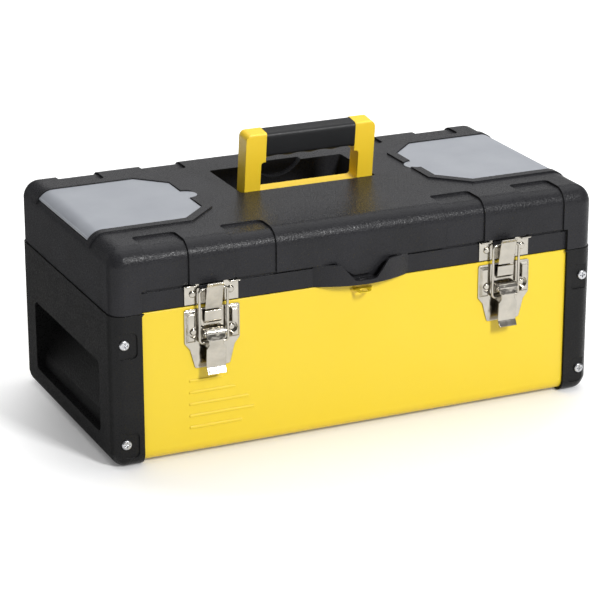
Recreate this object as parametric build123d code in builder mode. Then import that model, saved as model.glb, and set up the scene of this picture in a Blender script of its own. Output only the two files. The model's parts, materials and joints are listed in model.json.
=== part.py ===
from build123d import *
from math import cos, radians, sin, sqrt
import os

os.makedirs("parts", exist_ok=True)

# A steel and plastic tool box with a hinged lid, two draw latches, a fold-down handle and two organiser
# covers. X runs along the length, the front faces -Y, and Z is up from the surface it stands on. All
# pieces are drawn about the middle of the case, and moved together at the end so that the origin lies
# under the middle of the whole object, latches and hinges included.

# Case and end caps
box_length = 480.0
box_depth = 248.0
seam_height = 143.5
seam_gap = 0.6
case_corner_radius = 13.0
case_foot_radius = 13.5
cap_length = 28.4
cap_wall = 3.0
cap_flange = 6.0
cap_inner_radius = 10.0
sheet_recess = 2.8
corner_web = 2.2
sheet_thickness = 1.0
sheet_tuck = 20.0
slot_clearance = 0.1
hem_height = 6.0
hem_round = 0.9

# How far a cut runs past the face that it goes through
overcut = 1.0

# Ribs pressed into the front sheet, by length from the top one down, set in from the left end
rib_lengths = [32.0, 45.0, 58.0, 63.0, 51.0]
rib_inset = 72.0
rib_top = 73.0
rib_pitch = 11.1
rib_width = 2.4
rib_height = 0.8
rib_round = 0.6

# Padlock eye under the lid's lip
eye_width = 22.0
eye_centre = 6.8
eye_nose_radius = 6.5
eye_hole_radius = 4.0
eye_thickness = 1.2
eye_drop = 8.0
eye_root_drop = 12.0
padlock_clearance = 0.5

# Hand-holds in the ends of the caps
hold_length = 176.0
hold_bottom = 24.0
hold_top = 92.0
hold_corner_radius = 6.0
hold_shallow = 8.0
hold_low_depth = 9.5
hold_low_height = 36.0
hold_mid_depth = 26.0
hold_mid_height = 60.0
hold_deep = 36.0
hold_deep_height = 74.0
hold_wall = 2.5

# Screws that hold the caps to the sheet, and their seats
screw_low = 23.5
screw_drop = 26.5
screw_inset = 11.5
seat_depth = 1.5
seat_height = 24.0
seat_inner = 12.0
seat_outer = 17.5
seat_drop = 1.5
seat_corner_radius = 5.0
screw_head_radius = 4.6
screw_head_height = 2.6
screw_head_round = 1.5
screw_shank_radius = 1.9
screw_shank_length = 12.0
screw_cross_length = 5.2
screw_cross_width = 1.1
screw_cross_depth = 1.4
fastener_clearance = 0.1

# Lid
lid_end_inset = 1.0
lid_height = 58.9
lid_edge_radius = 16.0
lid_wall = 3.6
band_height = 20.0
band_depth_front = 3.6
band_wall = 3.0
ledge_thickness = 2.2
ledge_groove_height = 2.8
ledge_groove_depth = 1.3
lid_inner_radius = 8.0
panel_width = 40.5
panel_depth = 2.0
panel_reach = 36.0
panel_corner_radius = 5.0
panel_insets = [53.0, 136.0]

# Lip in the middle of the lid's front, with its notch and the tongue behind it
lip_width = 95.0
lip_reach = 13.1
lip_wall = 2.5
notch_rise = 3.8
notch_bottom_width = 20.0
notch_top_width = 48.0
tongue_rise = 6.7
tongue_bottom_width = 17.0
tongue_top_width = 54.0
tongue_round = 3.0
notch_round = 6.0

# Organiser bins and covers, drawn for the right end and mirrored
cover_length = 121.5
cover_front = -60.0
cover_back = 73.0
cover_chamfer = 26.0
cover_thickness = 2.2
cover_proud = 0.4
cover_gap = 0.5
cover_rest_gap = 0.3
cover_end_angle = 54.0
cover_tab_radius = 11.5
bead_radius = 1.5
bead_clearance = 0.4
cover_pin_radius = 1.0
cover_pin_length = 3.0
rim_width = 9.0
rim_height = 1.4
rim_end_angle = 75.0
bin_ledge = 4.5
bin_wall = 2.0
bin_depth = 32.0
bin_end_wall = 8.5
bin_corner_radius = 3.0
divider_wall = 1.8
divider_drop = 8.0
divider_inset = 64.0

# Handle and its well
well_side_gap = 3.5
well_front = -8.2
well_back_gap = 1.6
well_depth = 30.0
well_wall = 2.5
well_corner_radius = 3.0
scoop_radius = 33.0
scoop_depth = 14.0
scoop_reach = 8.5
handle_width = 130.4
handle_depth = 17.5
handle_lean = 7.0
handle_length = 66.2
handle_pivot_drop = 9.1
handle_front_gap = 0.45
handle_bar_top = 7.6
handle_corner_radius = 6.5
handle_edge_radius = 2.0
handle_window_radius = 3.0
leg_width = 15.8
shoulder_width = 20.4
shoulder_bottom = 37.7
core_depth = 9.0
core_height = 14.0
grip_height = 25.0
grip_proud = 0.3
grip_edge_radius = 4.5
scallop_count = 4
scallop_rise = 2.6
handle_pin_radius = 2.5
handle_pin_length = 18.0
handle_pin_end_gap = 0.5
handle_pin_head = 4.5
handle_pin_head_height = 2.0
pin_clearance = 0.05

# Rear hinges
hinge_inset = 100.0
hinge_width = 60.0
hinge_leaf = 1.2
hinge_leaf_height = 18.0
knuckle_radius = 3.0
knuckle_offset = 3.4
knuckle_length = 20.0
knuckle_gap = 0.3
knuckle_relief = 0.5
hinge_pin_radius = 1.5
hinge_pin_head_radius = 2.4
hinge_pin_head_height = 1.0
hinge_rivet_spread = 40.0
hinge_rivet_offset = 11.0

# Draw latches, with heights above the seam and distances out from the front sheet
latch_inset = 94.5
keeper_width = 51.0
keeper_thickness = 1.2
keeper_foot_gap = 0.8
keeper_top_gap = 0.4
ear_inner = 11.5
ear_lip_inner = 15.8
ear_lip_reach = 5.4
web_top = 12.0
hook_half = 7.9
hook_foot = (4.7, -3.2)
hook_bend = (9.6, 19.0)
hook_tip = (11.6, 21.7)
cheek_outer = 7.9
cheek_top = 13.7
cheek_bottom = -1.5
bar_out = 4.9
bar_clearance = 0.3
bail_wire_radius = 1.25
bail_half_width = 13.3
bail_bend_radius = 3.0
bail_stub_end = 5.2
pivot_height = -25.5
pivot_out = 6.0
bail_pivot_drop = 9.0
bail_pivot_in = 1.3
latch_pin_radius = 1.5
latch_pin_head_radius = 2.3
latch_pin_head_height = 0.8
lever_plate = 1.2
lever_round = 4.4
lever_cheek_outer = 7.1
lever_cheek_in = 2.2
lever_cheek_bottom = -39.0
lever_neck = (11.0, -31.5)
lever_blade_top = (10.2, -39.0)
lever_blade_bottom = (8.9, -57.0)
lever_tip = (12.4, -62.2)
lever_top_half = 8.6
lever_neck_half = 6.6
lever_neck_top = -30.0
lever_neck_slope = 1.0
lever_neck_bottom = -35.0
lever_blade_slope = 4.0
lever_blade_half = 9.1
lever_tip_half = 8.7
base_thickness = 1.2
base_top = -3.0
base_half_width = 26.2
base_step_height = -34.5
base_foot = -58.5
base_foot_half = 16.5
base_shoulder_in = 5.0
base_shoulder_drop = 6.2
tab_half = 8.2
tab_root = -17.0
tab_knee = (4.0, -14.8)
tab_end = (5.0, -4.8)
base_corner_radius = 2.0
wing_inner = 15.3
wing_top = -4.0
wing_out = 4.2
wing_slope = 35.0
wing_seat_radius = 5.0
lug_inner = 9.2
lug_thickness = 1.2
lug_radius = 4.0
latch_rivet_spread = 36.0
plate_bend_radius = 2.0
keeper_rivet_height = 10.8
base_rivet_height = -24.0

# Rivets, all alike but for the thickness that they hold
rivet_head_radius = 3.3
rivet_head_height = 1.7
rivet_head_round = 1.5
rivet_shank_radius = 1.6
rivet_tail_radius = 2.6
rivet_tail_height = 0.9

# Lift-out tray
tray_end_gap = 15.0
tray_side_gap = 6.2
tray_top_drop = 5.0
tray_wall = 2.0
tray_corner_radius = 8.0
tray_inner_radius = 6.0
tray_bay = 96.0
tray_handle_length = 100.0
tray_handle_rise = 20.0
tray_handle_bar = 10.0
tray_spine = 10.0
tray_handle_round = 3.0

# Sizes that follow from the ones above
cap_inner = box_length / 2 - cap_length
case_front = box_depth / 2
sheet_face = case_front - sheet_recess
sheet_end = cap_inner + sheet_tuck
cap_top = seam_height - seam_gap / 2
lid_bottom = seam_height + seam_gap / 2
lid_top = lid_bottom + lid_height
lid_end = box_length / 2 - lid_end_inset
lid_round_x = lid_end - lid_edge_radius
lid_round_z = lid_top - lid_edge_radius
ledge_height = lid_bottom + band_height
band_front = case_front - band_depth_front
screw_x = box_length / 2 - screw_inset
screw_heights = [screw_low, seam_height - screw_drop]
rib_left = rib_inset - box_length / 2
panel_places = [side * (box_length / 2 - inset) for side in (-1, 1) for inset in panel_insets]
seat_floor = case_front - seat_depth
eye_y = -sheet_face - eye_centre
eye_height = seam_height - eye_drop
notch_bottom = lid_bottom + notch_rise
tongue_bottom = lid_bottom + tongue_rise
lip_radius = ((lip_width / 2) ** 2 + lip_reach**2) / (2 * lip_reach)
lip_centre = lip_radius - band_front - lip_reach
cover_inner = box_length / 2 - cover_length
cover_middle = (cover_front + cover_back) / 2
cover_low = cover_proud - cover_thickness
cover_outer_radius = lid_edge_radius + cover_proud
cover_inner_radius = lid_edge_radius + cover_low
bead_path = (cover_outer_radius + cover_inner_radius) / 2
bead_x = lid_round_x + bead_path * sin(radians(cover_end_angle))
bead_z = lid_round_z + bead_path * cos(radians(cover_end_angle))
bin_floor = lid_top - bin_depth
divider_place = box_length / 2 - divider_inset
well_floor = lid_top - well_depth
well_half = handle_width / 2 + well_side_gap
lean_sin = sin(radians(handle_lean))
lean_cos = cos(radians(handle_lean))
handle_half_depth = handle_depth / 2
handle_rise = (handle_pivot_drop + handle_half_depth * lean_sin) / lean_cos
pivot_y = well_front + handle_front_gap + handle_half_depth * lean_cos + handle_rise * lean_sin
pivot_z = lid_top - handle_pivot_drop
well_back = pivot_y + handle_length + well_back_gap
shoulder_inner = handle_width / 2 - shoulder_width
leg_inner = handle_width / 2 - leg_width
grip_bottom = handle_length - grip_height
hinge_place = box_length / 2 - hinge_inset
hinge_y = sheet_face + knuckle_offset
hinge_z = seam_height
keeper_back = band_front - sheet_face
keeper_bottom = seam_gap / 2 + keeper_foot_gap
keeper_top = seam_gap / 2 + band_height - keeper_top_gap
latch_place = box_length / 2 - latch_inset
bar_height = cheek_top + bail_wire_radius + bar_clearance
bail_pivot_out = pivot_out - bail_pivot_in
bail_pivot_height = pivot_height - bail_pivot_drop
bail_length = sqrt((bar_height - bail_pivot_height) ** 2 + (bar_out - bail_pivot_out) ** 2)
latch_pivot_z = seam_height + pivot_height
bail_pivot_z = seam_height + bail_pivot_height
keeper_rivet_z = seam_height + keeper_rivet_height
base_rivet_z = seam_height + base_rivet_height
tray_length = box_length - 2 * (cap_wall + tray_end_gap)
tray_width = 2 * (sheet_face - sheet_thickness - tray_side_gap)
tray_bottom = hold_top + hold_wall
tray_height = seam_height - tray_top_drop - tray_bottom
front_reach = -eye_y + eye_nose_radius
back_reach = hinge_y + knuckle_radius
centre_shift = (front_reach - back_reach) / 2

# Planes that the leaning handle and the latches are drawn on
handle_front_plane = Plane(origin=(0, pivot_y, pivot_z), x_dir=(1, 0, 0), z_dir=(0, -lean_cos, -lean_sin))
handle_side_plane = Plane(origin=(0, pivot_y, pivot_z), x_dir=(0, lean_cos, lean_sin), z_dir=(1, 0, 0))
latch_front_plane = Plane(origin=(latch_place, -sheet_face, seam_height), x_dir=(1, 0, 0), z_dir=(0, -1, 0))
latch_side_plane = Plane(origin=(latch_place, -sheet_face, seam_height), x_dir=(0, -1, 0), z_dir=(-1, 0, 0))


def block(x0, x1, y0, y1, z0, z1, mode=Mode.ADD):
    """A box between two corners."""
    with Locations(((x0 + x1) / 2, (y0 + y1) / 2, (z0 + z1) / 2)):
        Box(x1 - x0, y1 - y0, z1 - z0, mode=mode)


def latch_block(x0, x1, z0, z1, out0, out1, mode=Mode.ADD):
    """A box at a latch, by its distances from the latch's middle, from the seam and out from the sheet."""
    block(latch_place + x0, latch_place + x1, -sheet_face - out1, -sheet_face - out0, seam_height + z0,
          seam_height + z1, mode)


def rod(start, direction, radius, length, mode=Mode.ADD):
    """A round bar or hole from a point along a direction."""
    with Locations(Plane(origin=start, z_dir=direction)):
        Cylinder(radius, length, align=(Align.CENTER, Align.CENTER, Align.MIN), mode=mode)


def sheet_profile(clearance):
    """The sheet's cross-section with its folded hems. A clearance makes it the slot for the sheet."""
    outer = sheet_face + clearance
    bottom = sheet_recess - clearance
    thickness = sheet_thickness + 2 * clearance
    bend = case_foot_radius - sheet_recess + clearance
    inner = outer - thickness
    with BuildSketch() as drawn:
        with BuildLine():
            FilletPolyline(
                (-outer, cap_top),
                (-outer, bottom),
                (outer, bottom),
                (outer, cap_top),
                radius=bend,
            )
            Line((outer, cap_top), (inner, cap_top))
            FilletPolyline(
                (inner, cap_top),
                (inner, bottom + thickness),
                (-inner, bottom + thickness),
                (-inner, cap_top),
                radius=bend - thickness,
            )
            Line((-inner, cap_top), (-outer, cap_top))
        make_face()
        with Locations((sheet_face - 1.5 * sheet_thickness, cap_top - hem_height / 2)):
            Rectangle(sheet_thickness + 2 * clearance, hem_height + 2 * clearance)
        mirror(about=Plane.YZ)
    return drawn.sketch


def cover_outline(grow):
    """The right cover's plan, grown by a distance and run out past the end of the lid."""
    inner = cover_inner - grow
    front = cover_front - grow
    back = cover_back + grow
    end = box_length / 2 + rim_width
    leg = cover_chamfer + grow * (2 - sqrt(2))
    with BuildSketch() as drawn:
        Polygon(
            (inner + leg, front),
            (end, front),
            (end, back),
            (inner + leg, back),
            (inner, back - leg),
            (inner, front + leg),
            align=None,
        )
    return drawn.sketch


def lip_outline(radius):
    """The part of a disc that stands out in front of the lid's band."""
    with BuildSketch() as drawn:
        with Locations((0, lip_centre)):
            Circle(radius)
        with Locations((0, -band_front)):
            Rectangle(2 * radius, 2 * radius + lip_centre + band_front, align=(Align.CENTER, Align.MIN),
                      mode=Mode.SUBTRACT)
    return drawn.sketch


def lip_cut(bottom_width, top_width, bottom):
    """The wide V of the lip's notch or of the tongue behind it, with all its corners rounded."""
    half = top_width / 2 + notch_round
    with BuildSketch() as drawn:
        Polygon(
            (-half, ledge_height + overcut),
            (-half, ledge_height),
            (-top_width / 2, ledge_height),
            (-bottom_width / 2, bottom),
            (bottom_width / 2, bottom),
            (top_width / 2, ledge_height),
            (half, ledge_height),
            (half, ledge_height + overcut),
            align=None,
        )
        fillet(vertices().sort_by(Axis.Y)[:2], tongue_round)
        fillet([v for v in vertices() if abs(abs(v.X) - top_width / 2) < overcut], notch_round)
    return drawn.sketch


def rivet(grip):
    """A domed rivet that stands on the origin and holds a thickness below it."""
    with BuildPart() as made:
        Cylinder(rivet_head_radius, rivet_head_height, align=(Align.CENTER, Align.CENTER, Align.MIN))
        fillet(edges().group_by(Axis.Z)[-1], rivet_head_round)
        rod((0, 0, 0), (0, 0, -1), rivet_shank_radius, grip)
        rod((0, 0, -grip), (0, 0, -1), rivet_tail_radius, rivet_tail_height)
    return made.part


# Body sheet: front, bottom and back in one bent sheet, with hemmed top edges
with BuildPart() as body_sheet:
    with BuildSketch(Plane.YZ):
        add(sheet_profile(0))
        fillet([v for v in vertices() if v.Y > cap_top - hem_round], hem_round)
    extrude(amount=sheet_end, both=True)
    with BuildSketch(Plane.XZ.offset(sheet_face)):
        for count, length in enumerate(rib_lengths):
            with Locations((rib_left + length / 2, rib_top - count * rib_pitch)):
                SlotOverall(length, rib_width)
    extrude(amount=rib_height)
    fillet(faces().sort_by(Axis.Y)[: len(rib_lengths)].edges(), rib_round)
    for end in (-1, 1):
        for height in screw_heights:
            rod((end * screw_x, -case_front, height), (0, 1, 0), screw_shank_radius + fastener_clearance,
                box_depth, Mode.SUBTRACT)
    for side in (-1, 1):
        for along in (-latch_rivet_spread / 2, latch_rivet_spread / 2):
            rod((side * latch_place + along, -sheet_face - overcut, base_rivet_z), (0, 1, 0),
                rivet_shank_radius + fastener_clearance, sheet_thickness + 2 * overcut, Mode.SUBTRACT)
    for place in (-hinge_place, hinge_place):
        for along in (-hinge_rivet_spread / 2, hinge_rivet_spread / 2):
            rod((place + along, sheet_face + overcut, hinge_z - hinge_rivet_offset), (0, -1, 0),
                rivet_shank_radius + fastener_clearance, sheet_thickness + 2 * overcut, Mode.SUBTRACT)
    block(-eye_width / 2 - slot_clearance, eye_width / 2 + slot_clearance, -sheet_face - overcut,
          -sheet_face + sheet_thickness + overcut, eye_height - slot_clearance,
          eye_height + eye_thickness + slot_clearance, Mode.SUBTRACT)

# Padlock eye: a flat tab through a slit in the sheet, with a root bent down behind it
with BuildPart() as padlock_eye:
    with BuildSketch(Plane.XY.offset(eye_height)):
        with BuildLine():
            Polyline(
                (-eye_nose_radius, eye_y),
                (-eye_width / 2, -sheet_face),
                (-eye_width / 2, -sheet_face + sheet_thickness + eye_thickness),
                (eye_width / 2, -sheet_face + sheet_thickness + eye_thickness),
                (eye_width / 2, -sheet_face),
                (eye_nose_radius, eye_y),
            )
            ThreePointArc((eye_nose_radius, eye_y), (0, eye_y - eye_nose_radius), (-eye_nose_radius, eye_y))
        make_face()
        with Locations((0, eye_y)):
            Circle(eye_hole_radius, mode=Mode.SUBTRACT)
    extrude(amount=eye_thickness)
    block(-eye_width / 2, eye_width / 2, -sheet_face + sheet_thickness,
          -sheet_face + sheet_thickness + eye_thickness, eye_height - eye_root_drop, eye_height)

# Hand-hold pocket and the wall round it, drawn for the right end
hold_depths = [
    (box_length / 2, hold_bottom),
    (box_length / 2 - hold_shallow, hold_bottom),
    (box_length / 2 - hold_low_depth, hold_low_height),
    (box_length / 2 - hold_mid_depth, hold_mid_height),
    (box_length / 2 - hold_deep, hold_deep_height),
    (box_length / 2 - hold_deep, hold_top),
    (box_length / 2, hold_top),
]
with BuildPart() as hold_pocket:
    with BuildSketch(Plane.XZ):
        Polygon(*hold_depths, align=None)
    extrude(amount=hold_length / 2, both=True)
    with BuildSketch(Plane.YZ.offset(cap_inner - hold_deep)):
        with Locations((0, (hold_bottom + hold_top) / 2)):
            RectangleRounded(hold_length, hold_top - hold_bottom, hold_corner_radius)
    extrude(amount=2 * hold_deep + cap_length, mode=Mode.INTERSECT)
with BuildPart() as hold_shell:
    with BuildSketch(Plane.XZ):
        Polygon(*hold_depths, align=None)
        offset(amount=hold_wall, kind=Kind.INTERSECTION)
    extrude(amount=hold_length / 2 + hold_wall, both=True)
    block(box_length / 2 - cap_wall / 2, box_length, -box_depth, box_depth, 0, lid_top, Mode.SUBTRACT)

# End caps: cut from one rounded block as long as the case, and hollowed from inside
with BuildPart() as case_block:
    block(-box_length / 2, box_length / 2, -case_front, case_front, 0, lid_top)
    fillet(edges().group_by(Axis.Z)[0], case_foot_radius)
    fillet(edges().filter_by(Axis.Z), case_corner_radius)
with BuildPart() as cap_hollow:
    block(cap_wall - box_length / 2, box_length / 2 - cap_wall, cap_flange - case_front,
          case_front - cap_flange, cap_flange, lid_top)
    fillet(edges().filter_by(Axis.Z), cap_inner_radius)
    fillet(edges().group_by(Axis.Z)[0], case_foot_radius - cap_flange)
with BuildPart() as right_end_cap:
    block(cap_inner, box_length / 2, -case_front, case_front, 0, cap_top)
    add(case_block.part, mode=Mode.INTERSECT)
    add(cap_hollow.part, mode=Mode.SUBTRACT)
    add(hold_shell.part)
    add(hold_pocket.part, mode=Mode.SUBTRACT)
    with BuildSketch(Plane.YZ.offset(cap_inner)):
        add(sheet_profile(slot_clearance))
    extrude(amount=sheet_tuck + slot_clearance, mode=Mode.SUBTRACT)
    for side in (-1, 1):
        # small web over the sheet's upper corner
        with BuildSketch(Plane.XZ.offset(side * (sheet_face + slot_clearance))):
            Polygon(
                (cap_inner, cap_top),
                (cap_inner - corner_web, cap_top),
                (cap_inner, cap_top - corner_web),
                align=None,
            )
        extrude(amount=side * (sheet_recess - slot_clearance))
        for height in screw_heights:
            with BuildSketch(Plane.XZ.offset(side * seat_floor)):
                with Locations((screw_x + (seat_outer - seat_inner) / 2, height - seat_drop)):
                    RectangleRounded(seat_outer + seat_inner, seat_height, seat_corner_radius)
            extrude(amount=side * 2 * seat_depth, mode=Mode.SUBTRACT)
            rod((screw_x, -side * seat_floor, height), (0, side, 0), screw_shank_radius + fastener_clearance,
                cap_flange, Mode.SUBTRACT)
with BuildPart() as left_end_cap:
    mirror(right_end_cap.part, about=Plane.YZ)

# End cap screws: eight pan heads with a cross recess
with BuildPart() as one_screw:
    Cylinder(screw_head_radius, screw_head_height, align=(Align.CENTER, Align.CENTER, Align.MIN))
    fillet(edges().group_by(Axis.Z)[-1], screw_head_round)
    Cylinder(screw_shank_radius, screw_shank_length, align=(Align.CENTER, Align.CENTER, Align.MAX))
    with Locations((0, 0, screw_head_height)):
        for turn in (0, 90):
            Box(screw_cross_length, screw_cross_width, 2 * screw_cross_depth, rotation=(0, 0, turn),
                mode=Mode.SUBTRACT)
with BuildPart() as end_cap_screws:
    for end in (-1, 1):
        for side in (-1, 1):
            for height in screw_heights:
                with Locations(Plane(origin=(end * screw_x, side * seat_floor, height), z_dir=(0, side, 0))):
                    add(one_screw.part)

# Lift-out tray: rests on the tops of the two hand-hold pockets
tray_floor_top = tray_bottom + tray_wall
tray_top = tray_bottom + tray_height
with BuildPart() as tool_tray:
    with BuildSketch(Plane.XY.offset(tray_bottom)):
        RectangleRounded(tray_length, tray_width, tray_corner_radius)
    extrude(amount=tray_height)
    with BuildSketch(Plane.XY.offset(tray_floor_top)):
        with GridLocations(tray_length - tray_bay, 0, 2, 1):
            RectangleRounded(tray_bay - 2 * tray_wall, tray_width - 2 * tray_wall, tray_inner_radius)
        with GridLocations(0, tray_width / 2 + (tray_spine - 2 * tray_wall) / 2, 1, 2):
            RectangleRounded(tray_length - 2 * tray_bay, (tray_width - tray_spine) / 2 - tray_wall,
                             tray_inner_radius)
    extrude(amount=tray_height, mode=Mode.SUBTRACT)
    with BuildSketch(Plane.XZ.offset(-tray_spine / 2)):
        with Locations((0, tray_top + tray_handle_rise / 2 - tray_wall)):
            Rectangle(tray_handle_length, tray_handle_rise + 2 * tray_wall)
    extrude(amount=tray_spine)
    fillet(edges().filter_by(Axis.Y).group_by(Axis.Z)[-1], 2 * tray_handle_round)
    with BuildSketch(Plane.XZ.offset(-tray_spine)):
        with Locations((0, tray_top + tray_handle_rise - 2 * tray_handle_bar)):
            RectangleRounded(tray_handle_length - 4 * tray_handle_round, 2 * tray_handle_bar,
                             tray_handle_round)
    extrude(amount=2 * tray_spine, mode=Mode.SUBTRACT)

# Lid: the plain rounded block, and the hollow under it
with BuildPart() as lid_block:
    block(-lid_end, lid_end, -case_front, case_front, lid_bottom, lid_top)
    fillet(edges().group_by(Axis.Z)[-1], lid_edge_radius)
    fillet(edges().filter_by(Axis.Z), case_corner_radius)
with BuildPart() as lid_hollow:
    block(lid_wall - lid_end, lid_end - lid_wall, lid_wall - case_front, case_front - lid_wall,
          ledge_height + ledge_thickness, lid_top - lid_wall)
    fillet(edges().group_by(Axis.Z)[-1], lid_edge_radius - lid_wall)
    fillet(edges().filter_by(Axis.Z), lid_inner_radius)
    with BuildSketch(Plane.XY.offset(lid_bottom)):
        with Locations((0, (band_depth_front - sheet_recess) / 2)):
            RectangleRounded(2 * (lid_end - lid_wall), band_front + sheet_face - 2 * band_wall,
                             lid_inner_radius)
    extrude(amount=ledge_height + ledge_thickness - lid_bottom)

# Cutter for a recess panel that runs from the ledge over the lid's rounded front edge
panel_round_radius = lid_edge_radius - panel_depth
panel_round_y = case_front - lid_edge_radius
with BuildPart() as panel_cutter:
    with BuildSketch(Plane.YZ):
        with BuildLine():
            Polyline(
                (-case_front + panel_depth, lid_round_z),
                (-case_front + panel_depth, ledge_height),
                (-case_front - panel_depth, ledge_height),
                (-case_front - panel_depth, lid_top + panel_depth),
                (-case_front + panel_reach, lid_top + panel_depth),
                (-case_front + panel_reach, lid_top - panel_depth),
                (-panel_round_y, lid_top - panel_depth),
            )
            CenterArc((-panel_round_y, lid_round_z), panel_round_radius, 90, 90)
        make_face()
    extrude(amount=panel_width / 2, both=True)
    fillet(edges().filter_by(Axis.Z).group_by(Axis.Y)[-1], panel_corner_radius)

# Cutter for the seat of the right cover, with its bead groove and pin holes
seat_z = lid_top + cover_low - cover_rest_gap
seat_radius = cover_inner_radius - cover_rest_gap
bead_angle = 90 - cover_end_angle
with BuildPart() as cover_cutter:
    with BuildSketch(Plane.XZ.offset(-cover_back - cover_gap)):
        with Locations((0, lid_round_z)):
            Rectangle(box_length, lid_height, align=Align.MIN)
        with Locations((0, seat_z)):
            Rectangle(lid_round_x, lid_height, align=(Align.MIN, Align.MAX), mode=Mode.SUBTRACT)
        with Locations((lid_round_x, lid_round_z)):
            Circle(seat_radius, mode=Mode.SUBTRACT)
        with BuildLine():
            lower_end = CenterArc((lid_round_x, lid_round_z), lid_edge_radius, 0, bead_angle)
            Line(lower_end @ 1, (lid_round_x, lid_round_z))
            Line((lid_round_x, lid_round_z), lower_end @ 0)
        make_face(mode=Mode.SUBTRACT)
    extrude(amount=cover_back - cover_front + 2 * cover_gap)
    with BuildSketch(Plane.XY.offset(lid_bottom)):
        add(cover_outline(cover_gap))
        with Locations((cover_inner, cover_middle)):
            Circle(cover_tab_radius + cover_gap)
    extrude(amount=2 * lid_height, mode=Mode.INTERSECT)
    rod((bead_x, cover_front - cover_gap, bead_z), (0, 1, 0), bead_radius + bead_clearance,
        cover_back - cover_front + 2 * cover_gap)
    rod((bead_x, cover_front - cover_pin_length - cover_gap, bead_z), (0, 1, 0),
        cover_pin_radius + pin_clearance, cover_back - cover_front + 2 * cover_pin_length + 2 * cover_gap)

# Right organiser: rim round the cover, tub under it, and the two bins cut into the tub
with BuildPart() as organiser_rim:
    with BuildSketch(Plane.XZ.offset(-cover_back - rim_width)):
        with BuildLine():
            rim_outer = CenterArc((lid_round_x, lid_round_z), lid_edge_radius + rim_height,
                                  90 - rim_end_angle, rim_end_angle)
            rim_inner = CenterArc((lid_round_x, lid_round_z), lid_edge_radius - rim_height,
                                  90 - rim_end_angle, rim_end_angle)
            Line(rim_outer @ 0, rim_inner @ 0)
            Polyline(rim_outer @ 1, (0, lid_top + rim_height), (0, lid_top - rim_height), rim_inner @ 1)
        make_face()
    extrude(amount=cover_back - cover_front + 2 * rim_width)
    with BuildSketch(Plane.XY.offset(lid_bottom)):
        add(cover_outline(rim_width))
    extrude(amount=2 * lid_height, mode=Mode.INTERSECT)
with BuildPart() as organiser_tub:
    with BuildSketch(Plane.XY.offset(bin_floor - bin_wall)):
        add(cover_outline(bin_wall - bin_ledge))
    extrude(amount=lid_height)
    add(lid_block.part, mode=Mode.INTERSECT)
with BuildPart() as bin_cutter:
    with BuildSketch(Plane.XY.offset(bin_floor)):
        add(cover_outline(-bin_ledge))
        with Locations((lid_end - bin_end_wall, 0)):
            Rectangle(box_length, 2 * box_depth, align=(Align.MIN, Align.CENTER), mode=Mode.SUBTRACT)
        fillet(vertices(), bin_corner_radius)
    extrude(amount=lid_height)
    block(divider_place - divider_wall / 2, divider_place + divider_wall / 2, cover_front, cover_back,
          bin_floor, lid_top - divider_drop, Mode.SUBTRACT)

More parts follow.
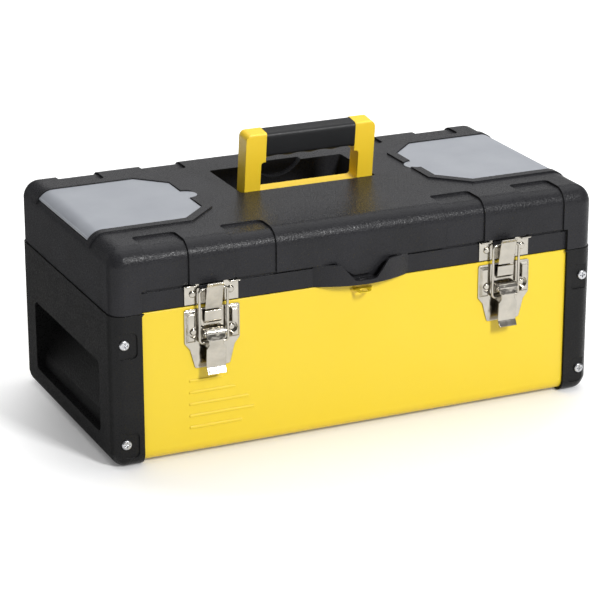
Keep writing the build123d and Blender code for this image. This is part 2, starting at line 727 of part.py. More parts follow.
# Lid shell
with BuildPart() as lid_shell:
    add(lid_block.part)
    add(lid_hollow.part, mode=Mode.SUBTRACT)
    block(-cap_inner, cap_inner, -box_depth, -band_front, 0, ledge_height, Mode.SUBTRACT)
    block(-cap_inner, cap_inner, sheet_face, box_depth, 0, ledge_height, Mode.SUBTRACT)
    # shadow groove under the ledge, on both sides of the lip
    for x0, x1 in ((-cap_inner, -lip_width / 2), (lip_width / 2, cap_inner)):
        block(x0, x1, -band_front, ledge_groove_depth - band_front, ledge_height - ledge_groove_height,
              ledge_height, Mode.SUBTRACT)
    for place in panel_places:
        with Locations((place, 0, 0), Location((place, 0, 0), (0, 0, 180))):
            add(panel_cutter.part, mode=Mode.SUBTRACT)
    # organisers at both ends
    add(organiser_tub.part)
    add(organiser_rim.part)
    mirror(organiser_tub.part, about=Plane.YZ)
    mirror(organiser_rim.part, about=Plane.YZ)
    for cutter in (bin_cutter.part, cover_cutter.part):
        add(cutter, mode=Mode.SUBTRACT)
        mirror(cutter, about=Plane.YZ, mode=Mode.SUBTRACT)
    # well for the handle, with a finger scoop behind it
    block(-well_half - well_wall, well_half + well_wall, well_front - well_wall, well_back + well_wall,
          well_floor - well_wall, lid_top - lid_wall / 2)
    block(-scoop_radius, scoop_radius, well_back, well_back + scoop_reach + well_wall,
          lid_top - scoop_depth - well_wall, lid_top - lid_wall / 2)
    with BuildSketch(Plane.XY.offset(well_floor)):
        with Locations((0, (well_front + well_back) / 2)):
            RectangleRounded(2 * well_half, well_back - well_front, well_corner_radius)
    extrude(amount=2 * well_depth, mode=Mode.SUBTRACT)
    rod((0, well_back - overcut, lid_top - scoop_depth + scoop_radius), (0, 1, 0), scoop_radius,
        scoop_reach + overcut, Mode.SUBTRACT)
    rod((-well_half - 2 * well_wall, pivot_y, pivot_z), (1, 0, 0), handle_pin_radius + pin_clearance,
        2 * well_half + 4 * well_wall, Mode.SUBTRACT)
    # lip over the padlock eye
    with BuildSketch(Plane.XY.offset(lid_bottom)):
        add(lip_outline(lip_radius))
    extrude(amount=band_height)
    with BuildSketch(Plane.XY.offset(lid_bottom + lip_wall)):
        add(lip_outline(lip_radius - lip_wall))
    extrude(amount=band_height - lip_wall, mode=Mode.SUBTRACT)
    with BuildSketch(Plane.XZ.offset(band_front)):
        add(lip_cut(tongue_bottom_width, tongue_top_width, tongue_bottom))
    extrude(amount=band_depth_front)
    with BuildSketch(Plane.XZ.offset(case_front)):
        add(lip_cut(notch_bottom_width, notch_top_width, notch_bottom))
    extrude(amount=lip_reach, mode=Mode.SUBTRACT)
    rod((0, eye_y, lid_bottom - overcut), (0, 0, 1), eye_hole_radius + padlock_clearance, lip_wall + overcut,
        Mode.SUBTRACT)
    # rivet holes for the keepers and the hinges
    for side in (-1, 1):
        for along in (-latch_rivet_spread / 2, latch_rivet_spread / 2):
            rod((side * latch_place + along, -case_front, keeper_rivet_z), (0, 1, 0),
                rivet_shank_radius + fastener_clearance, case_corner_radius, Mode.SUBTRACT)
    for place in (-hinge_place, hinge_place):
        for along in (-hinge_rivet_spread / 2, hinge_rivet_spread / 2):
            rod((place + along, case_front, hinge_z + hinge_rivet_offset), (0, -1, 0),
                rivet_shank_radius + fastener_clearance, case_corner_radius, Mode.SUBTRACT)

# Organiser covers: a plate that wraps over the lid's end, with a bead and two pins to turn on
with BuildPart() as right_cover:
    with BuildSketch(Plane.XZ.offset(-cover_back)):
        with BuildLine():
            cover_over = CenterArc((lid_round_x, lid_round_z), cover_outer_radius, bead_angle,
                                   cover_end_angle)
            cover_under = CenterArc((lid_round_x, lid_round_z), cover_inner_radius, bead_angle,
                                    cover_end_angle)
            Line(cover_over @ 0, cover_under @ 0)
            Polyline(cover_over @ 1, (cover_inner, lid_top + cover_proud), (cover_inner, lid_top + cover_low),
                     cover_under @ 1)
        make_face()
        with Locations((bead_x, bead_z)):
            Circle(bead_radius)
    extrude(amount=cover_back - cover_front)
    with BuildSketch(Plane.XY.offset(lid_bottom)):
        add(cover_outline(0))
    extrude(amount=2 * lid_height, mode=Mode.INTERSECT)
    rod((cover_inner, cover_middle, lid_top + cover_low), (0, 0, 1), cover_tab_radius, cover_thickness)
    rod((bead_x, cover_front - cover_pin_length, bead_z), (0, 1, 0), cover_pin_radius,
        cover_back - cover_front + 2 * cover_pin_length)
with BuildPart() as left_cover:
    mirror(right_cover.part, about=Plane.YZ)

# Handle frame: legs, shoulders, the bar they turn on, and the core inside the grip
with BuildPart() as handle_frame:
    with BuildSketch(handle_front_plane):
        with Locations((0, -handle_half_depth)):
            Rectangle(handle_width, handle_length + handle_half_depth, align=(Align.CENTER, Align.MIN))
        fillet(vertices().sort_by(Axis.Y)[-2:], handle_corner_radius)
        with Locations((0, (handle_bar_top + shoulder_bottom) / 2)):
            RectangleRounded(2 * leg_inner, shoulder_bottom - handle_bar_top, handle_window_radius,
                             mode=Mode.SUBTRACT)
        with Locations((0, shoulder_bottom - overcut)):
            Rectangle(2 * shoulder_inner, handle_length, align=(Align.CENTER, Align.MIN), mode=Mode.SUBTRACT)
    extrude(amount=handle_half_depth, both=True)
    with BuildSketch(handle_side_plane):
        Circle(handle_half_depth)
        Rectangle(handle_depth, handle_length, align=(Align.CENTER, Align.MIN))
        fillet(vertices().sort_by(Axis.Y)[-2:], handle_edge_radius)
    extrude(amount=handle_width, both=True, mode=Mode.INTERSECT)
    with BuildSketch(handle_side_plane):
        with Locations((0, (grip_bottom + handle_length) / 2)):
            RectangleRounded(core_depth, core_height, handle_edge_radius)
    extrude(amount=shoulder_inner + overcut, both=True)
    for side in (-1, 1):
        rod((side * (well_half + well_wall), pivot_y, pivot_z), (-side, 0, 0),
            handle_pin_radius + pin_clearance, handle_pin_length + handle_pin_end_gap, Mode.SUBTRACT)

# Handle grip: a soft sleeve round the core, with finger scallops under it
scallop_chord = 2 * shoulder_inner / scallop_count
scallop_radius = scallop_chord**2 / (8 * scallop_rise) + scallop_rise / 2
with BuildPart() as handle_grip:
    with BuildSketch(handle_side_plane):
        with Locations((0, grip_bottom)):
            Rectangle(handle_depth + 2 * grip_proud, grip_height, align=(Align.CENTER, Align.MIN))
        fillet(vertices(), grip_edge_radius)
        with Locations((0, (grip_bottom + handle_length) / 2)):
            RectangleRounded(core_depth, core_height, handle_edge_radius, mode=Mode.SUBTRACT)
    extrude(amount=shoulder_inner, both=True)
    with BuildSketch(handle_front_plane):
        with Locations((0, grip_bottom + scallop_rise - scallop_radius)):
            with GridLocations(scallop_chord, 0, scallop_count, 1):
                Circle(scallop_radius)
    extrude(amount=handle_depth, both=True, mode=Mode.SUBTRACT)

# Handle pivot pins: headed from inside the lid, through the well's side walls
with BuildPart() as handle_pivot_pins:
    for side in (-1, 1):
        rod((side * (well_half + well_wall), pivot_y, pivot_z), (side, 0, 0), handle_pin_head,
            handle_pin_head_height)
        rod((side * (well_half + well_wall), pivot_y, pivot_z), (-side, 0, 0), handle_pin_radius,
            handle_pin_length)

# Rear hinges: the body leaf has the middle knuckle and the lid leaf the two outer ones
knuckle_clear = knuckle_radius + knuckle_relief
middle_half = knuckle_length / 2 - knuckle_gap / 2
with BuildPart() as right_hinge_body_leaf:
    block(hinge_place - hinge_width / 2, hinge_place + hinge_width / 2, sheet_face,
          sheet_face + hinge_leaf, hinge_z - hinge_leaf_height, hinge_z - knuckle_clear)
    block(hinge_place - middle_half, hinge_place + middle_half, sheet_face, sheet_face + hinge_leaf,
          hinge_z - hinge_leaf_height, hinge_z - knuckle_relief)
    rod((hinge_place - middle_half, hinge_y, hinge_z), (1, 0, 0), knuckle_radius, 2 * middle_half)
    rod((hinge_place - hinge_width, hinge_y, hinge_z), (1, 0, 0), hinge_pin_radius + pin_clearance,
        2 * hinge_width, Mode.SUBTRACT)
    for along in (-hinge_rivet_spread / 2, hinge_rivet_spread / 2):
        rod((hinge_place + along, case_front, hinge_z - hinge_rivet_offset), (0, -1, 0),
            rivet_shank_radius + fastener_clearance, sheet_recess + overcut, Mode.SUBTRACT)
with BuildPart() as left_hinge_body_leaf:
    mirror(right_hinge_body_leaf.part, about=Plane.YZ)
with BuildPart() as right_hinge_lid_leaf:
    block(hinge_place - hinge_width / 2, hinge_place + hinge_width / 2, sheet_face,
          sheet_face + hinge_leaf, hinge_z + knuckle_clear, hinge_z + hinge_leaf_height)
    for side in (-1, 1):
        with Locations((side * (knuckle_length + knuckle_gap / 4), 0, 0)):
            block(hinge_place - middle_half, hinge_place + middle_half, sheet_face,
                  sheet_face + hinge_leaf, hinge_z + knuckle_relief, hinge_z + knuckle_clear)
            rod((hinge_place - middle_half, hinge_y, hinge_z), (1, 0, 0), knuckle_radius, 2 * middle_half)
    rod((hinge_place - hinge_width, hinge_y, hinge_z), (1, 0, 0), hinge_pin_radius + pin_clearance,
        2 * hinge_width, Mode.SUBTRACT)
    for along in (-hinge_rivet_spread / 2, hinge_rivet_spread / 2):
        rod((hinge_place + along, case_front, hinge_z + hinge_rivet_offset), (0, -1, 0),
            rivet_shank_radius + fastener_clearance, sheet_recess + overcut, Mode.SUBTRACT)
with BuildPart() as left_hinge_lid_leaf:
    mirror(right_hinge_lid_leaf.part, about=Plane.YZ)
with BuildPart() as hinge_pins:
    for place in (-hinge_place, hinge_place):
        rod((place - hinge_width / 2 - knuckle_gap, hinge_y, hinge_z), (1, 0, 0), hinge_pin_radius,
            hinge_width + 2 * knuckle_gap)
        for side in (-1, 1):
            rod((place + side * (hinge_width / 2 + knuckle_gap), hinge_y, hinge_z), (side, 0, 0),
                hinge_pin_head_radius, hinge_pin_head_height)
hinge_body_rivet = rivet(hinge_leaf + sheet_thickness)
with BuildPart() as hinge_body_rivets:
    for place in (-hinge_place, hinge_place):
        for along in (-hinge_rivet_spread / 2, hinge_rivet_spread / 2):
            with Locations(Plane(origin=(place + along, sheet_face + hinge_leaf,
                                         hinge_z - hinge_rivet_offset), z_dir=(0, 1, 0))):
                add(hinge_body_rivet)
hinge_lid_rivet = rivet(hinge_leaf + band_wall)
with BuildPart() as hinge_lid_rivets:
    for place in (-hinge_place, hinge_place):
        for along in (-hinge_rivet_spread / 2, hinge_rivet_spread / 2):
            with Locations(Plane(origin=(place + along, sheet_face + hinge_leaf,
                                         hinge_z + hinge_rivet_offset), z_dir=(0, 1, 0))):
                add(hinge_lid_rivet)

# Latch keepers: riveted to the lid's band, with the hook that the bail pulls down on
with BuildPart() as right_keeper:
    with BuildSketch(latch_front_plane.offset(keeper_back)):
        with Locations((0, keeper_bottom)):
            Rectangle(keeper_width, web_top - keeper_bottom, align=(Align.CENTER, Align.MIN))
        with Locations((-keeper_width / 2, keeper_bottom), (ear_inner, keeper_bottom)):
            Rectangle(keeper_width / 2 - ear_inner, keeper_top - keeper_bottom, align=Align.MIN)
        with Locations((0, keeper_rivet_height)):
            with GridLocations(latch_rivet_spread, 0, 2, 1):
                Circle(rivet_shank_radius + fastener_clearance, mode=Mode.SUBTRACT)
    extrude(amount=keeper_thickness)
    for side in (-1, 1):
        middle = side * (ear_lip_inner + keeper_width / 2) / 2
        half = (keeper_width / 2 - ear_lip_inner) / 2
        latch_block(middle - half, middle + half, keeper_top - keeper_thickness, keeper_top, keeper_back,
                    ear_lip_reach)
        middle = side * (cheek_outer - keeper_thickness / 2)
        with BuildSketch(latch_side_plane.offset(middle)):
            Polygon(
                (keeper_back, keeper_bottom),
                (hook_foot[0], cheek_bottom),
                (hook_bend[0], hook_bend[1]),
                (hook_bend[0] - keeper_thickness, cheek_top),
                (keeper_back, cheek_top),
                align=None,
            )
            with Locations((0, cheek_top)):
                Rectangle(4 * hook_bend[0], keeper_width, align=(Align.CENTER, Align.MIN), mode=Mode.SUBTRACT)
        extrude(amount=keeper_thickness / 2, both=True)
    with BuildSketch(latch_side_plane):
        with BuildLine():
            FilletPolyline(hook_foot, hook_bend, hook_tip, radius=plate_bend_radius)
        trace(line_width=keeper_thickness)
    extrude(amount=hook_half, both=True)
with BuildPart() as left_keeper:
    mirror(right_keeper.part, about=Plane.YZ)

# Latch bases: riveted to the front sheet, with raised wings, a raised tab and two lugs for the lever
with BuildPart() as right_latch_base:
    with BuildSketch(latch_front_plane):
        Polygon(
            (-base_half_width, base_top),
            (-base_half_width, base_step_height),
            (base_shoulder_in - base_half_width, base_step_height - base_shoulder_drop),
            (-base_foot_half, base_foot),
            (base_foot_half, base_foot),
            (base_half_width - base_shoulder_in, base_step_height - base_shoulder_drop),
            (base_half_width, base_step_height),
            (base_half_width, base_top),
            align=None,
        )
        fillet(vertices(), base_corner_radius)
    extrude(amount=base_thickness)
    with BuildSketch(latch_front_plane):
        for side in (-1, 1):
            with Locations((side * (wing_inner + base_half_width) / 2, (base_step_height + wing_top) / 2)):
                Rectangle(base_half_width - wing_inner, wing_top - base_step_height)
    extrude(amount=wing_out, taper=wing_slope)
    for side in (-1, 1):
        with BuildSketch(latch_front_plane.offset(base_thickness)):
            with Locations((side * latch_rivet_spread / 2, base_rivet_height)):
                Circle(wing_seat_radius)
        extrude(amount=wing_out, mode=Mode.SUBTRACT)
        with BuildSketch(latch_front_plane.offset(-overcut)):
            with Locations((side * latch_rivet_spread / 2, base_rivet_height)):
                Circle(rivet_shank_radius + fastener_clearance)
        extrude(amount=wing_out, mode=Mode.SUBTRACT)
        with BuildSketch(latch_side_plane.offset(side * (lug_inner + lug_thickness / 2))):
            with Locations((pivot_out, pivot_height)):
                Circle(lug_radius)
                Rectangle(pivot_out, 2 * lug_radius, align=(Align.MAX, Align.CENTER))
        extrude(amount=lug_thickness / 2, both=True)
    with BuildSketch(latch_side_plane):
        with BuildLine():
            FilletPolyline((base_thickness / 2, tab_root), tab_knee, tab_end, radius=plate_bend_radius)
        trace(line_width=base_thickness)
    extrude(amount=tab_half, both=True)
    rod((latch_place - base_half_width / 2, -sheet_face - pivot_out, latch_pivot_z), (1, 0, 0),
        latch_pin_radius + pin_clearance, base_half_width, Mode.SUBTRACT)
with BuildPart() as left_latch_base:
    mirror(right_latch_base.part, about=Plane.YZ)

# Latch levers: a bent plate round the pivot, with two cheeks behind it
with BuildPart() as right_latch_lever:
    with BuildSketch(latch_side_plane):
        with BuildLine():
            CenterArc((pivot_out, pivot_height), lever_round - lever_plate / 2, 0, 90)
            FilletPolyline(
                (pivot_out + lever_round - lever_plate / 2, pivot_height),
                lever_neck,
                lever_blade_top,
                lever_blade_bottom,
                lever_tip,
                radius=plate_bend_radius,
            )
        trace(line_width=lever_plate)
    extrude(amount=lever_blade_half, both=True)
    with BuildSketch(latch_front_plane.offset(-lever_round)):
        Polygon(
            (lever_top_half, pivot_height + 2 * lever_round),
            (lever_top_half, lever_neck_top),
            (lever_neck_half, lever_neck_top - lever_neck_slope),
            (lever_neck_half, lever_neck_bottom),
            (lever_blade_half, lever_neck_bottom - lever_blade_slope),
            (lever_blade_half, lever_blade_bottom[1]),
            (lever_tip_half, lever_tip[1] - 2 * overcut),
            (0, lever_tip[1] - 2 * overcut),
            (0, pivot_height + 2 * lever_round),
            align=None,
        )
        mirror(about=Plane.YZ)
    extrude(amount=6 * lever_round, mode=Mode.INTERSECT)
    for side in (-1, 1):
        with BuildSketch(latch_side_plane.offset(side * (lever_cheek_outer - lever_plate / 2))):
            with Locations((pivot_out, pivot_height)):
                Circle(lever_round)
            Polygon(
                (lever_cheek_in, pivot_height),
                (lever_cheek_in, lever_cheek_bottom),
                (lever_blade_top[0], lever_cheek_bottom),
                (lever_neck[0], lever_neck[1]),
                (pivot_out + lever_round - lever_plate / 2, pivot_height),
                align=None,
            )
        extrude(amount=lever_plate / 2, both=True)
    rod((latch_place - lever_top_half, -sheet_face - pivot_out, latch_pivot_z), (1, 0, 0),
        latch_pin_radius + pin_clearance, 2 * lever_top_half, Mode.SUBTRACT)
    rod((latch_place - lever_top_half, -sheet_face - bail_pivot_out, bail_pivot_z), (1, 0, 0),
        bail_wire_radius + pin_clearance, 2 * lever_top_half, Mode.SUBTRACT)
with BuildPart() as left_latch_lever:
    mirror(right_latch_lever.part, about=Plane.YZ)

# Latch bails: one bent wire each, with its ends turned in through the lever's cheeks
bail_plane = Plane(
    origin=(latch_place, -sheet_face - bail_pivot_out, bail_pivot_z),
    x_dir=(1, 0, 0),
    z_dir=(0, bail_pivot_height - bar_height, bail_pivot_out - bar_out),
)
with BuildPart() as right_latch_bail:
    with BuildLine(bail_plane) as bail_path:
        FilletPolyline(
            (-bail_stub_end, 0),
            (-bail_half_width, 0),
            (-bail_half_width, bail_length),
            (bail_half_width, bail_length),
            (bail_half_width, 0),
            (bail_stub_end, 0),
            radius=bail_bend_radius,
        )
    with BuildSketch(Plane(origin=bail_path.line @ 0, z_dir=bail_path.line % 0)):
        Circle(bail_wire_radius)
    sweep()
with BuildPart() as left_latch_bail:
    mirror(right_latch_bail.part, about=Plane.YZ)

# Latch pivot pins and the rivets of both latches
with BuildPart() as latch_pivot_pins:
    pin_half = lug_inner + lug_thickness
    for side in (-1, 1):
        rod((side * latch_place - pin_half, -sheet_face - pivot_out, latch_pivot_z), (1, 0, 0),
            latch_pin_radius, 2 * pin_half)
        for end in (-1, 1):
            rod((side * latch_place + end * pin_half, -sheet_face - pivot_out, latch_pivot_z), (end, 0, 0),
                latch_pin_head_radius, latch_pin_head_height)
latch_base_rivet = rivet(base_thickness + sheet_thickness)
with BuildPart() as latch_base_rivets:
    for side in (-1, 1):
        for along in (-latch_rivet_spread / 2, latch_rivet_spread / 2):
            with Locations(Plane(origin=(side * latch_place + along, -sheet_face - base_thickness,
                                         base_rivet_z), z_dir=(0, -1, 0))):
                add(latch_base_rivet)
keeper_rivet = rivet(keeper_thickness + band_wall)
with BuildPart() as keeper_rivets:
    for side in (-1, 1):
        for along in (-latch_rivet_spread / 2, latch_rivet_spread / 2):
            with Locations(Plane(origin=(side * latch_place + along, -band_front - keeper_thickness,
                                         keeper_rivet_z), z_dir=(0, -1, 0))):
                add(keeper_rivet)

# Move every piece so that the origin is under the middle of the whole, then write the files
for piece in (
    body_sheet,
    padlock_eye,
    left_end_cap,
    right_end_cap,
    end_cap_screws,
    tool_tray,
    lid_shell,
    left_cover,
    right_cover,
    handle_frame,
    handle_grip,
    handle_pivot_pins,
    left_hinge_body_leaf,
    right_hinge_body_leaf,
    left_hinge_lid_leaf,
    right_hinge_lid_leaf,
    hinge_pins,
    hinge_body_rivets,
    hinge_lid_rivets,
    left_keeper,
    right_keeper,
    keeper_rivets,
    left_latch_base,
    right_latch_base,
    latch_base_rivets,
    left_latch_lever,
    right_latch_lever,
    left_latch_bail,
    right_latch_bail,
    latch_pivot_pins,
):
    piece.part.move(Location((0, centre_shift, 0)))
body_sheet.part.label = "body_sheet"
export_step(body_sheet.part, "parts/body_sheet.step")
padlock_eye.part.label = "padlock_eye"
export_step(padlock_eye.part, "parts/padlock_eye.step")
left_end_cap.part.label = "left_end_cap"
export_step(left_end_cap.part, "parts/left_end_cap.step")
right_end_cap.part.label = "right_end_cap"
export_step(right_end_cap.part, "parts/right_end_cap.step")
end_cap_screws.part.label = "end_cap_screws"
export_step(end_cap_screws.part, "parts/end_cap_screws.step")
tool_tray.part.label = "tool_tray"
export_step(tool_tray.part, "parts/tool_tray.step")
lid_shell.part.label = "lid_shell"
export_step(lid_shell.part, "parts/lid_shell.step")
left_cover.part.label = "left_cover"
export_step(left_cover.part, "parts/left_cover.step")
right_cover.part.label = "right_cover"
export_step(right_cover.part, "parts/right_cover.step")
handle_frame.part.label = "handle_frame"
export_step(handle_frame.part, "parts/handle_frame.step")
handle_grip.part.label = "handle_grip"
export_step(handle_grip.part, "parts/handle_grip.step")
handle_pivot_pins.part.label = "handle_pivot_pins"
export_step(handle_pivot_pins.part, "parts/handle_pivot_pins.step")
left_hinge_body_leaf.part.label = "left_hinge_body_leaf"
export_step(left_hinge_body_leaf.part, "parts/left_hinge_body_leaf.step")
right_hinge_body_leaf.part.label = "right_hinge_body_leaf"
export_step(right_hinge_body_leaf.part, "parts/right_hinge_body_leaf.step")
left_hinge_lid_leaf.part.label = "left_hinge_lid_leaf"
export_step(left_hinge_lid_leaf.part, "parts/left_hinge_lid_leaf.step")
right_hinge_lid_leaf.part.label = "right_hinge_lid_leaf"
export_step(right_hinge_lid_leaf.part, "parts/right_hinge_lid_leaf.step")
hinge_pins.part.label = "hinge_pins"
export_step(hinge_pins.part, "parts/hinge_pins.step")
hinge_body_rivets.part.label = "hinge_body_rivets"
export_step(hinge_body_rivets.part, "parts/hinge_body_rivets.step")
hinge_lid_rivets.part.label = "hinge_lid_rivets"
export_step(hinge_lid_rivets.part, "parts/hinge_lid_rivets.step")
left_keeper.part.label = "left_keeper"
export_step(left_keeper.part, "parts/left_keeper.step")
right_keeper.part.label = "right_keeper"
export_step(right_keeper.part, "parts/right_keeper.step")
keeper_rivets.part.label = "keeper_rivets"
export_step(keeper_rivets.part, "parts/keeper_rivets.step")
left_latch_base.part.label = "left_latch_base"
export_step(left_latch_base.part, "parts/left_latch_base.step")
right_latch_base.part.label = "right_latch_base"
export_step(right_latch_base.part, "parts/right_latch_base.step")
latch_base_rivets.part.label = "latch_base_rivets"
export_step(latch_base_rivets.part, "parts/latch_base_rivets.step")
left_latch_lever.part.label = "left_latch_lever"
export_step(left_latch_lever.part, "parts/left_latch_lever.step")
right_latch_lever.part.label = "right_latch_lever"
export_step(right_latch_lever.part, "parts/right_latch_lever.step")
left_latch_bail.part.label = "left_latch_bail"
export_step(left_latch_bail.part, "parts/left_latch_bail.step")
right_latch_bail.part.label = "right_latch_bail"
export_step(right_latch_bail.part, "parts/right_latch_bail.step")
latch_pivot_pins.part.label = "latch_pivot_pins"
export_step(latch_pivot_pins.part, "parts/latch_pivot_pins.step")
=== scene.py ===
import json
import math

import bmesh
import bpy
from mathutils import Matrix, Vector

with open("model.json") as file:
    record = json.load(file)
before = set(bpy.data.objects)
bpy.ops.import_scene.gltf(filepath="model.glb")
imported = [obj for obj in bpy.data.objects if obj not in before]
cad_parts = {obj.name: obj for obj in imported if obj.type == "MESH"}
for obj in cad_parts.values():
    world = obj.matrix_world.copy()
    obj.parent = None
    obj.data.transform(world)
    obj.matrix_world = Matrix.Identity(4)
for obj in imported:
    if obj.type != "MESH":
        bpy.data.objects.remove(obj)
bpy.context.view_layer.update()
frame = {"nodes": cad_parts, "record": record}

MM = 0.001

# The case was drawn about its own middle and then moved back by this much.
CASE_MIDDLE_Y = 3.45 * MM

# Most of a noise node's values lie between these two.
NOISE_LOW = 0.3
NOISE_HIGH = 0.7

# The ends of the lid and caps are duller than the rest. The first two are the share of a face's normal that
# points along X where that starts and where it is full, and the third is the roughness it adds.
END_STARTS = 0.75
END_IS_FULL = 0.97
END_MATT = 0.5

# The floor in metres. Its own white comes in over this reach from the box and is dimmer close to it, in an oval
# shifted to one side: painted shade round the box's base, on top of which the cast shadow is kept.
FLOOR_HALF_WIDTH = 12
WHITE_STARTS = 0.22
WHITE_IS_FULL = 0.35
GLOW_IN_PAINTED_SHADE = 0.12
WHITE_FAR = 0.5
PAINTED_SHADE_OVAL_SCALE = (1.0, 1.3, 1.0)
PAINTED_SHADE_OVAL_SHIFT = (0.02, 0.08, 0.0)

# The room's brightness at the horizon and overhead, and the height of a direction where it is at its most.
HORIZON_GLOW = 0.1
OVERHEAD_GLOW = 0.3
OVERHEAD_FROM = 0.9

# The camera, set from the box's own edges in the picture: millimetres, metres and degrees.
SENSOR_WIDTH = 36
LENS = 150.85
CAMERA_PLACE = (-0.9263, -2.0483 + CASE_MIDDLE_Y, 0.8867)
CAMERA_TURN = -24.2
CAMERA_DROP = 19.62
CAMERA_ROLL = -0.108

# Each soft box has a name, a place, the point it faces, its width and height, and its watts. The first lights
# the top, the second the front, and the third gives the top of the lid its sheen.
SOFT_BOXES = (
    ("top_box", (0.3, 0.45, 2.05), (0, 0, 0.1), 2.6, 2.4, 32),
    ("front_box", (0.85, -2.85, 2.1), (0, 0, 0.12), 0.6, 0.9, 95),
    ("back_box", (0.95, 2.1, 0.8), (0, 0, 0.15), 1.8, 1.0, 3.0),
)


def linear(hex_colour):
    """A colour written as sRGB hex, as the linear values that the shaders take."""
    parts = [int(hex_colour[i : i + 2], 16) / 255 for i in (1, 3, 5)]
    return [c / 12.92 if c <= 0.04045 else ((c + 0.055) / 1.055) ** 2.4 for c in parts] + [1.0]


def put(tree, kind, inputs=None, **settings):
    """Adds one node with its settings, and sets or links its inputs."""
    made = tree.nodes.new(kind)
    for name, value in settings.items():
        setattr(made, name, value)
    for name, value in (inputs or {}).items():
        if isinstance(value, bpy.types.NodeSocket):
            tree.links.new(value, made.inputs[name])
        else:
            made.inputs[name].default_value = value
    return made


def bare_tree(block):
    """The empty node tree of a new material or world."""
    block.use_nodes = True
    block.node_tree.nodes.clear()
    return block.node_tree


def new_finish(name, inputs):
    """A material with one Principled shader set to the given values."""
    finish = bpy.data.materials.new(name)
    tree = bare_tree(finish)
    shader = put(tree, "ShaderNodeBsdfPrincipled", inputs)
    put(tree, "ShaderNodeOutputMaterial", {"Surface": shader.outputs["BSDF"]})
    place = put(tree, "ShaderNodeTexCoord").outputs["Object"]
    return finish, tree, shader, place


def grained(tree, shader, place, grain_mm, depth_mm, edge_mm, detail=2.0):
    """A moulded or sprayed grain of a given size and depth, over edges rounded by a radius."""
    grain = put(
        tree,
        "ShaderNodeTexNoise",
        {"Vector": place, "Scale": 1 / (grain_mm * MM), "Detail": detail},
    )
    edges = put(tree, "ShaderNodeBevel", {"Radius": edge_mm * MM}, samples=4)
    bump = put(
        tree,
        "ShaderNodeBump",
        {
            "Height": grain.outputs["Fac"],
            "Strength": 1.0,
            "Distance": depth_mm * MM,
            "Normal": edges.outputs["Normal"],
        },
    )
    tree.links.new(bump.outputs["Normal"], shader.inputs["Normal"])


def varied(tree, place, size_mm, low, high, detail=3.0):
    """A number that drifts between two values over patches of a given size."""
    patches = put(
        tree,
        "ShaderNodeTexNoise",
        {"Vector": place, "Scale": 1 / (size_mm * MM), "Detail": detail},
    )
    ramp = put(
        tree,
        "ShaderNodeMapRange",
        {
            "Value": patches.outputs["Fac"],
            "From Min": NOISE_LOW,
            "From Max": NOISE_HIGH,
            "To Min": low,
            "To Max": high,
        },
    )
    return ramp.outputs["Result"]


def roughened(tree, shader, place, size_mm, low, high):
    """Gives the shader a roughness that drifts between two values."""
    tree.links.new(varied(tree, place, size_mm, low, high), shader.inputs["Roughness"])


def coloured(tree, shader, place, size_mm, first, second):
    """Gives the shader a colour that drifts between two over patches of a given size."""
    drift = varied(tree, place, size_mm, 0, 1)
    mix = put(
        tree,
        "ShaderNodeMix",
        {0: drift, 6: linear(first), 7: linear(second)},
        data_type="RGBA",
    )
    tree.links.new(mix.outputs[2], shader.inputs["Base Color"])


# Moulded polypropylene from a spark-eroded tool: a leathery grain that breaks a highlight into specks. The real
# grain is finer than the render can show, so it is drawn at 1.3 to 1.8 mm.
def moulded_black_polypropylene(name, shine, first, second):
    finish, tree, shader, place = new_finish(name, {"IOR": 1.49, "Specular IOR Level": shine})
    grained(tree, shader, place, grain_mm=1.8, depth_mm=0.35, edge_mm=0.8)
    facing = put(
        tree,
        "ShaderNodeSeparateXYZ",
        {"Vector": put(tree, "ShaderNodeTexCoord").outputs["Normal"]},
    )
    sideways = put(tree, "ShaderNodeMath", {0: facing.outputs["X"]}, operation="ABSOLUTE")
    matt = put(
        tree,
        "ShaderNodeMapRange",
        {
            "Value": sideways.outputs[0],
            "From Min": END_STARTS,
            "From Max": END_IS_FULL,
            "To Min": 0.0,
            "To Max": END_MATT,
        },
    )
    gloss = varied(tree, place, 1.3, 0.2, 0.46, detail=1.0)
    rough = put(tree, "ShaderNodeMath", {0: gloss, 1: matt.outputs["Result"]}, operation="ADD")
    tree.links.new(rough.outputs[0], shader.inputs["Roughness"])
    coloured(tree, shader, place, 40, first, second)
    return finish


# Powder coat on sheet steel: even, with the faint waviness of sprayed paint and folds that catch the light.
def yellow_powder_coat():
    finish, tree, shader, place = new_finish(
        "yellow_powder_coat",
        {"IOR": 1.5, "Coat Weight": 0.08, "Coat Roughness": 0.2},
    )
    grained(tree, shader, place, grain_mm=1.8, depth_mm=0.012, edge_mm=0.7)
    roughened(tree, shader, place, 60, 0.34, 0.4)
    coloured(tree, shader, place, 90, "#EACB25", "#EACC2B")
    return finish


# Moulded ABS from a polished tool: smooth yellow plastic with soft edges and a low sheen.
def yellow_moulded_abs():
    finish, tree, shader, place = new_finish("yellow_moulded_abs", {"IOR": 1.53})
    grained(tree, shader, place, grain_mm=2.0, depth_mm=0.01, edge_mm=1.0)
    roughened(tree, shader, place, 30, 0.36, 0.44)
    coloured(tree, shader, place, 60, "#FFD62C", "#FFD834")
    return finish


# Moulded thermoplastic rubber: deep black with a soft sheen. Its fine grain is drawn coarser, at 1.2 mm, so
# that it shows.
def soft_black_rubber():
    finish, tree, shader, place = new_finish("soft_black_rubber", {"IOR": 1.5, "Specular IOR Level": 0.35})
    grained(tree, shader, place, grain_mm=1.2, depth_mm=0.09, edge_mm=0.8)
    roughened(tree, shader, place, 5, 0.36, 0.46)
    coloured(tree, shader, place, 25, "#0E0F11", "#131417")
    return finish


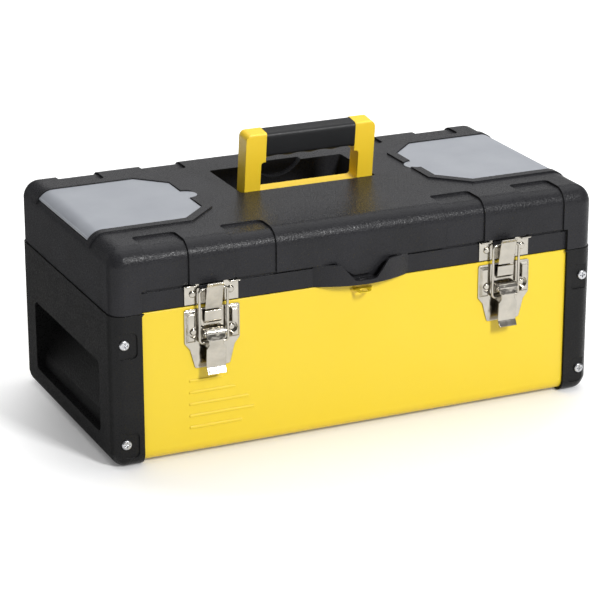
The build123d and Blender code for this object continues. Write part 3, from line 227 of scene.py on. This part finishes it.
# Frosted moulded polypropylene: milky grey, lets a little of the dark bin show through.
def frosted_clear_plastic():
    finish, tree, shader, place = new_finish(
        "frosted_clear_plastic",
        {"IOR": 1.49, "Transmission Weight": 0.3, "Roughness": 0.4},
    )
    grained(tree, shader, place, grain_mm=1.6, depth_mm=0.02, edge_mm=0.6)
    coloured(tree, shader, place, 35, "#B3B7BF", "#BCC0C7")
    return finish


# Bright nickel plate on pressed steel: mirror-like, with the slight waviness of the pressing.
def bright_nickel_plate():
    finish, tree, shader, place = new_finish("bright_nickel_plate", {"Metallic": 1.0})
    grained(tree, shader, place, grain_mm=6.0, depth_mm=0.25, edge_mm=0.9, detail=1.0)
    roughened(tree, shader, place, 7, 0.12, 0.2)
    coloured(tree, shader, place, 12, "#A6A299", "#B5B0A6")
    return finish


# Zinc plate on hinges and small fasteners: grey-white metal, duller than the nickel.
def zinc_plate():
    finish, tree, shader, place = new_finish("zinc_plate", {"Metallic": 1.0})
    grained(tree, shader, place, grain_mm=1.0, depth_mm=0.02, edge_mm=0.3)
    roughened(tree, shader, place, 3, 0.24, 0.36)
    coloured(tree, shader, place, 6, "#B0B1B4", "#C2C3C6")
    return finish


# Moulded high-impact polystyrene of the tray: plain black, duller than the lid.
def plain_black_tray_plastic():
    finish, tree, shader, place = new_finish("plain_black_tray_plastic", {"IOR": 1.59})
    grained(tree, shader, place, grain_mm=1.5, depth_mm=0.04, edge_mm=0.8)
    roughened(tree, shader, place, 20, 0.45, 0.55)
    coloured(tree, shader, place, 50, "#1B1C1F", "#222327")
    return finish


zinc = zinc_plate()
slot_finishes = {
    "lid_plastic": moulded_black_polypropylene("lid_black_polypropylene", 0.16, "#242426", "#2A2A2D"),
    "cap_plastic": moulded_black_polypropylene("cap_black_polypropylene", 0.14, "#181819", "#1E1E1E"),
    "tray_plastic": plain_black_tray_plastic(),
    "body_paint": yellow_powder_coat(),
    "handle_plastic": yellow_moulded_abs(),
    "grip_rubber": soft_black_rubber(),
    "cover_plastic": frosted_clear_plastic(),
    "latch_nickel": bright_nickel_plate(),
    "fastener_zinc": zinc,
    "hinge_zinc": zinc,
}
for part in frame["record"]["subparts"]:
    node = frame["nodes"][part["node"]]
    node.data.materials.clear()
    node.data.materials.append(slot_finishes[part["material_slot"]])


def new_object(name, data):
    """An object in the scene that shows the given mesh, light or camera."""
    made = bpy.data.objects.new(name, data)
    bpy.context.scene.collection.objects.link(made)
    return made


def studio_floor():
    """A pale floor that looks white away from the box, has painted shade close round its base, and keeps its
    shadow.
    """
    mesh = bmesh.new()
    bmesh.ops.create_grid(mesh, x_segments=1, y_segments=1, size=FLOOR_HALF_WIDTH)
    data = bpy.data.meshes.new("floor")
    mesh.to_mesh(data)
    mesh.free()
    paint = bpy.data.materials.new("white_floor")
    tree = bare_tree(paint)
    rays = put(tree, "ShaderNodeLightPath").outputs
    seen = put(
        tree,
        "ShaderNodeMath",
        {0: rays["Is Camera Ray"], 1: rays["Is Glossy Ray"]},
        operation="MAXIMUM",
    )
    through = put(
        tree,
        "ShaderNodeMath",
        {0: seen.outputs[0], 1: rays["Is Transmission Ray"]},
        operation="MAXIMUM",
    )
    spot = put(tree, "ShaderNodeTexCoord").outputs["Object"]
    oval = put(
        tree,
        "ShaderNodeVectorMath",
        {0: spot, 1: PAINTED_SHADE_OVAL_SCALE, 2: PAINTED_SHADE_OVAL_SHIFT},
        operation="MULTIPLY_ADD",
    )
    reach = put(tree, "ShaderNodeVectorMath", {0: oval.outputs["Vector"]}, operation="LENGTH")
    # Painted shade: the floor glows less close to the box, in an oval round its base.
    painted_shade_wash = put(
        tree,
        "ShaderNodeMapRange",
        {
            "Value": reach.outputs["Value"],
            "From Min": WHITE_STARTS,
            "From Max": WHITE_IS_FULL,
            "To Min": GLOW_IN_PAINTED_SHADE,
            "To Max": WHITE_FAR,
        },
        interpolation_type="SMOOTHSTEP",
    )
    glow = put(tree, "ShaderNodeMath", {0: through.outputs[0], 1: painted_shade_wash.outputs[0]}, operation="MULTIPLY")
    white = put(tree, "ShaderNodeBsdfDiffuse", {"Color": linear("#EDEDED")})
    lift = put(tree, "ShaderNodeEmission", {"Color": linear("#FFFFFF"), "Strength": glow.outputs[0]})
    both = put(tree, "ShaderNodeAddShader", {0: white.outputs[0], 1: lift.outputs[0]})
    put(tree, "ShaderNodeOutputMaterial", {"Surface": both.outputs[0]})
    data.materials.append(paint)
    new_object("floor", data)


def studio_world():
    """A room that is bright overhead and dim at the sides, so that gloss has something to show."""
    world = bpy.data.worlds.new("studio")
    bpy.context.scene.world = world
    tree = bare_tree(world)
    way = put(tree, "ShaderNodeTexCoord").outputs["Generated"]
    height = put(tree, "ShaderNodeSeparateXYZ", {"Vector": way}).outputs["Z"]
    glow = put(
        tree,
        "ShaderNodeMapRange",
        {
            "Value": height,
            "From Min": 0.0,
            "From Max": OVERHEAD_FROM,
            "To Min": HORIZON_GLOW,
            "To Max": OVERHEAD_GLOW,
        },
    )
    back = put(
        tree,
        "ShaderNodeBackground",
        {"Color": linear("#FFFFFF"), "Strength": glow.outputs["Result"]},
    )
    put(tree, "ShaderNodeOutputWorld", {"Surface": back.outputs[0]})


def soft_lamp(name, place, aim, width, height, power):
    """A soft box at a place, turned to a point on the object."""
    data = bpy.data.lights.new(name, "AREA")
    data.shape = "RECTANGLE"
    data.size = width
    data.size_y = height
    data.energy = power
    lamp = new_object(name, data)
    lamp.location = place
    lamp.rotation_euler = (Vector(aim) - Vector(place)).to_track_quat("-Z", "Y").to_euler()


def photo_camera():
    """The camera, which looks from the front left and a little above."""
    data = bpy.data.cameras.new("photo_camera")
    data.sensor_width = SENSOR_WIDTH
    data.lens = LENS
    camera = new_object("photo_camera", data)
    camera.location = CAMERA_PLACE
    turn = Matrix.Rotation(math.radians(CAMERA_TURN), 3, "Z")
    tilt = Matrix.Rotation(math.radians(90 - CAMERA_DROP), 3, "X")
    roll = Matrix.Rotation(math.radians(CAMERA_ROLL), 3, "Z")
    camera.rotation_euler = (turn @ tilt @ roll).to_euler()
    bpy.context.scene.camera = camera


studio_floor()
studio_world()
photo_camera()
for soft_box in SOFT_BOXES:
    soft_lamp(*soft_box)
bpy.context.scene.view_settings.view_transform = "Standard"
